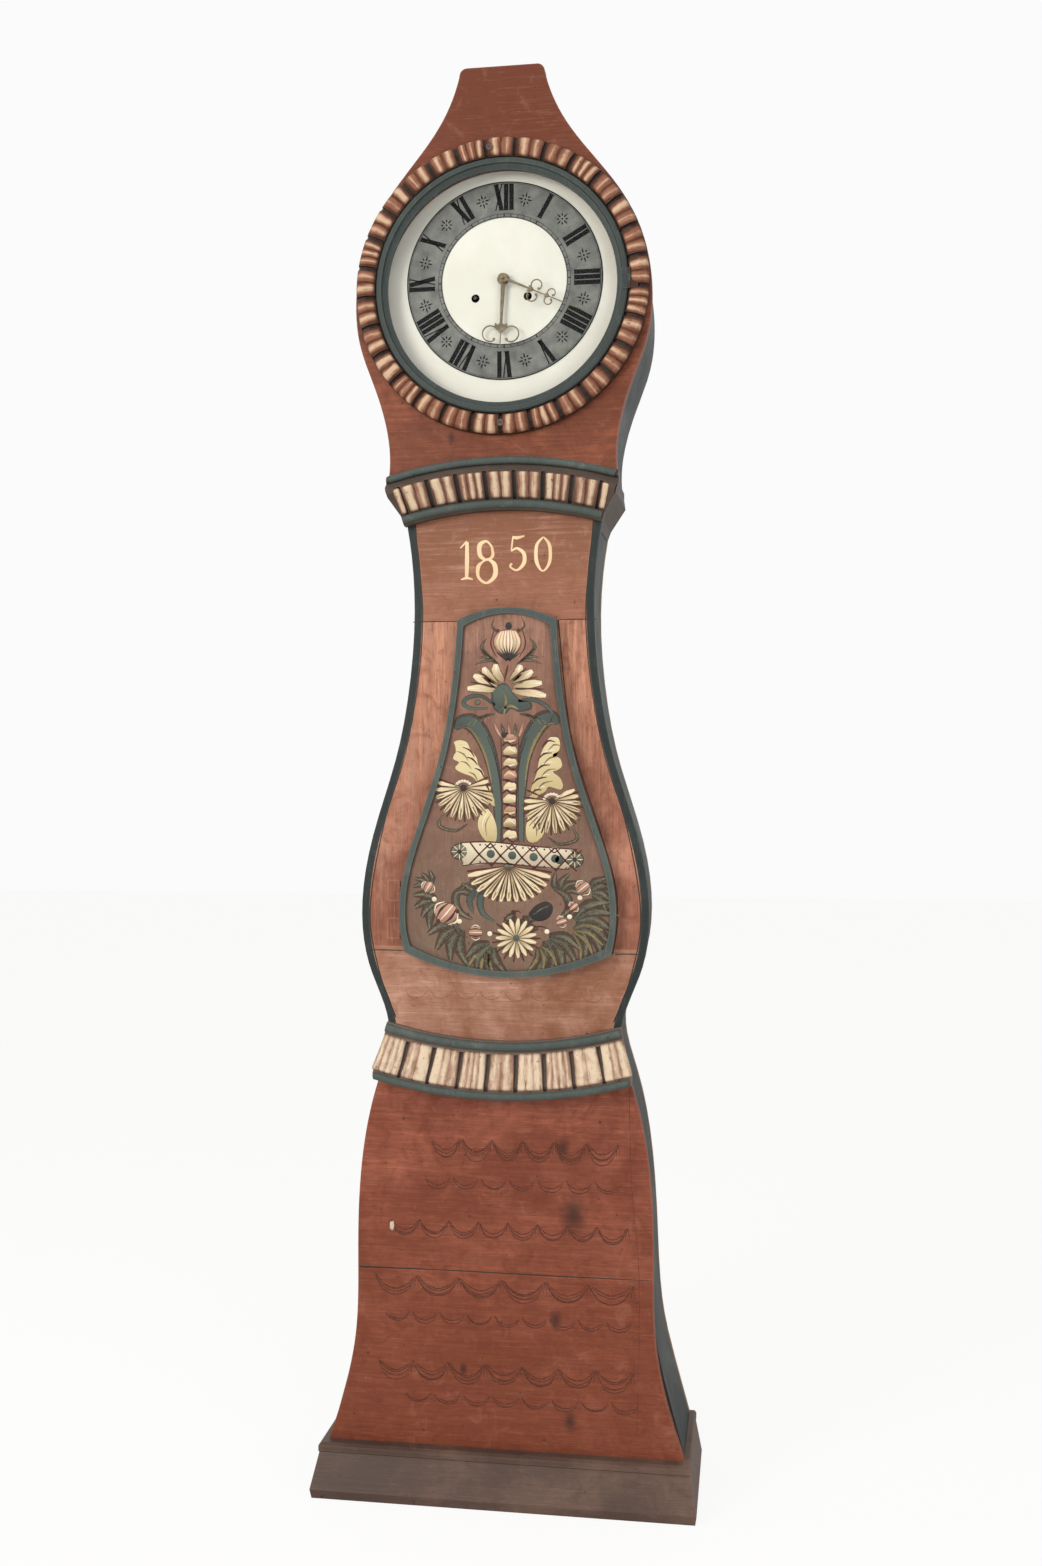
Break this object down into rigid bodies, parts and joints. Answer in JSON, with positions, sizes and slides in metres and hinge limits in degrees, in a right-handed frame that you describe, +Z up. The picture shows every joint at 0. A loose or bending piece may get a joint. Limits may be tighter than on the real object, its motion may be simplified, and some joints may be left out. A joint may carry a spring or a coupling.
{
  "type": "longcase clock",
  "caption": "Pear-shaped painted pine longcase clock with lift-off hood, glazed dial door, waist door, weights, pendulum, bells and working wheel trains.",
  "frame": {"origin": "on the floor under the middle of the case's footprint and depth", "axes": "+X to the right seen from the front, front faces -Y, back against the wall at +Y, +Z up"},
  "size_m": [0.566, 0.23, 2.1],
  "materials": {
    "pine_red": "worn limewashed red-brown paint on pine",
    "pine_green": "worn dark green paint on pine",
    "pine_dark": "worn dark brown paint on pine",
    "pine_raw": "aged unpainted pine",
    "carved_paint": "worn cream and pink paint on carved pine",
    "brass": "aged brass",
    "bell_metal": "cast bell metal",
    "steel": "darkened steel",
    "hand_black": "black painted iron",
    "dial_paint": "aged white paint",
    "chapter_paint": "grey paint with black numerals",
    "glass": "clear, slightly uneven",
    "cast_iron": "rough cast iron",
    "gut": "twisted gut"
  },
  "bodies": {
    "case": {"backboard": "pine_raw", "side_left": "pine_green", "side_right": "pine_green", "top_rail": "pine_red", "stile_left": "pine_red", "stile_right": "pine_red", "lower_rail": "pine_red", "base_board_upper": "pine_red", "base_board_lower": "pine_red", "base_floor": "pine_raw", "upper_moulding": "pine_red", "lower_moulding": "pine_red", "plinth": "pine_dark", "seat_board": "pine_raw", "waist_hinge_leaves": "steel", "dial_plate": "dial_paint", "chapter_ring": "chapter_paint", "front_plate": "brass", "back_plate": "brass", "line_tops": "gut", "line_going": "gut", "line_strike": "gut", "bell_stand": "brass", "bells": "bell_metal"},
    "waist_door": {"door_panel": "pine_red", "door_frame": "pine_green", "door_hinge_leaves": "steel"},
    "hood": {"hood_front": "pine_red", "hood_side_left": "pine_green", "hood_side_right": "pine_green", "crown_top": "pine_green", "bezel_ring": "carved_paint", "bezel_screws": "steel", "dial_hinge_leaf": "steel"},
    "dial_door": {"dial_door_ring": "pine_green", "dial_glass": "glass", "dial_door_leaf": "steel"},
    "centre_arbor": {"centre_wheel": "brass", "cannon_pinion": "brass", "minute_hand": "hand_black"},
    "hour_pipe": {"hour_wheel": "brass", "hour_hand": "hand_black"},
    "minute_wheel": {"minute_wheel": "brass"},
    "third_arbor": {"third_wheel": "brass"},
    "escape_arbor": {"escape_wheel": "brass"},
    "great_wheel_going": {"great_wheel_going": "brass"},
    "drum_going": {"drum_going": "brass"},
    "great_wheel_strike": {"great_wheel_strike": "brass"},
    "drum_strike": {"drum_strike": "brass"},
    "pin_arbor": {"pin_wheel": "brass"},
    "fly": {"fly": "brass"},
    "hammers": {"hammers": "steel"},
    "anchor": {"anchor": "steel"},
    "pendulum": {"pendulum_rod": "steel", "pendulum_bob": "brass", "rating_nut": "brass"},
    "weight_going": {"weight_going": "cast_iron"},
    "pulley_going": {"pulley_going": "brass"},
    "weight_strike": {"weight_strike": "cast_iron"},
    "pulley_strike": {"pulley_strike": "brass"}
  },
  "joints": [
    {"name": "waist_door_hinge", "type": "hinge", "parent": "case", "child": "waist_door", "pos_m": [-0.1563, -0.07415, 0.866], "axis": [0, 0, 1], "range_deg": [-95, 0]},
    {"name": "hood_slide", "type": "slide", "parent": "case", "child": "hood", "axis": [0, -1, 0], "range_m": [0, 0.26]},
    {"name": "dial_door_hinge", "type": "hinge", "parent": "hood", "child": "dial_door", "pos_m": [0.1875, -0.1062, 1.777], "axis": [0, 0, 1], "range_deg": [0, 110]},
    {"name": "centre_turn", "type": "hinge", "parent": "case", "child": "centre_arbor", "pos_m": [0, -0.024, 1.793], "axis": [0, 1, 0], "continuous": true},
    {"name": "hour_turn", "type": "hinge", "parent": "case", "child": "hour_pipe", "pos_m": [0, -0.068, 1.793], "axis": [0, 1, 0], "continuous": true},
    {"name": "minute_wheel_turn", "type": "hinge", "parent": "case", "child": "minute_wheel", "pos_m": [-0.01234, -0.053, 1.80771], "axis": [0, 1, 0], "continuous": true},
    {"name": "third_turn", "type": "hinge", "parent": "case", "child": "third_arbor", "pos_m": [0.01346, -0.024, 1.81641], "axis": [0, 1, 0], "continuous": true},
    {"name": "escape_turn", "type": "hinge", "parent": "case", "child": "escape_arbor", "pos_m": [0, -0.024, 1.835], "axis": [0, 1, 0], "continuous": true},
    {"name": "great_going_turn", "type": "hinge", "parent": "case", "child": "great_wheel_going", "pos_m": [0.035, -0.0165, 1.769], "axis": [0, 1, 0], "continuous": true},
    {"name": "great_strike_turn", "type": "hinge", "parent": "case", "child": "great_wheel_strike", "pos_m": [-0.043, -0.0165, 1.769], "axis": [0, 1, 0], "continuous": true},
    {"name": "pin_turn", "type": "hinge", "parent": "case", "child": "pin_arbor", "pos_m": [-0.052, -0.024, 1.80587], "axis": [0, 1, 0], "continuous": true},
    {"name": "fly_turn", "type": "hinge", "parent": "case", "child": "fly", "pos_m": [-0.04, -0.024, 1.82218], "axis": [0, 1, 0], "continuous": true},
    {"name": "hammer_pivot", "type": "hinge", "parent": "case", "child": "hammers", "pos_m": [-0.02, -0.024, 1.868], "axis": [0, 1, 0], "range_deg": [-14, 0], "stiffness_Nm_per_rad": 0.1, "springref_deg": 8.59},
    {"name": "pendulum_swing", "type": "hinge", "parent": "case", "child": "pendulum", "pos_m": [0, 0.024, 1.86], "axis": [0, 1, 0], "range_deg": [-3, 3]},
    {"name": "anchor_pivot", "type": "hinge", "parent": "case", "child": "anchor", "pos_m": [0, -0.024, 1.86], "axis": [0, 1, 0], "range_deg": [-3, 3]},
    {"name": "weight_going_lift", "type": "slide", "parent": "case", "child": "weight_going", "axis": [0, 0, 1], "range_m": [0, 1.25], "deforming": ["line_going"]},
    {"name": "weight_strike_lift", "type": "slide", "parent": "case", "child": "weight_strike", "axis": [0, 0, 1], "range_m": [0, 1.25], "deforming": ["line_strike"]},
    {"name": "drum_going_turn", "type": "hinge", "parent": "case", "child": "drum_going", "pos_m": [0.035, -0.024, 1.769], "axis": [0, 1, 0], "range_deg": [-7510, 0]},
    {"name": "drum_strike_turn", "type": "hinge", "parent": "case", "child": "drum_strike", "pos_m": [-0.043, -0.024, 1.769], "axis": [0, 1, 0], "range_deg": [0, 7510]},
    {"name": "pulley_going_turn", "type": "hinge", "parent": "weight_going", "child": "pulley_going", "pos_m": [0.0762, -0.025, 0.298], "axis": [0, 1, 0], "range_deg": [0, 3250]},
    {"name": "pulley_strike_turn", "type": "hinge", "parent": "weight_strike", "child": "pulley_strike", "pos_m": [-0.0842, -0.025, 0.298], "axis": [0, 1, 0], "range_deg": [-3250, 0]}
  ],
  "couplings": [
    {"joint": "hour_turn", "follows": "centre_turn", "ratio": 0.083333},
    {"joint": "minute_wheel_turn", "follows": "centre_turn", "ratio": -0.33333},
    {"joint": "third_turn", "follows": "centre_turn", "ratio": -8},
    {"joint": "escape_turn", "follows": "centre_turn", "ratio": 60},
    {"joint": "great_going_turn", "follows": "centre_turn", "ratio": -0.1},
    {"joint": "pin_turn", "follows": "great_strike_turn", "ratio": -10},
    {"joint": "fly_turn", "follows": "great_strike_turn", "ratio": 80},
    {"joint": "anchor_pivot", "follows": "pendulum_swing", "ratio": 1},
    {"joint": "drum_going_turn", "follows": "weight_going_lift", "rad_per_m": -104.71},
    {"joint": "drum_strike_turn", "follows": "weight_strike_lift", "rad_per_m": 104.71},
    {"joint": "pulley_going_turn", "follows": "weight_going_lift", "rad_per_m": 45.249},
    {"joint": "pulley_strike_turn", "follows": "weight_strike_lift", "rad_per_m": -45.249}
  ]
}
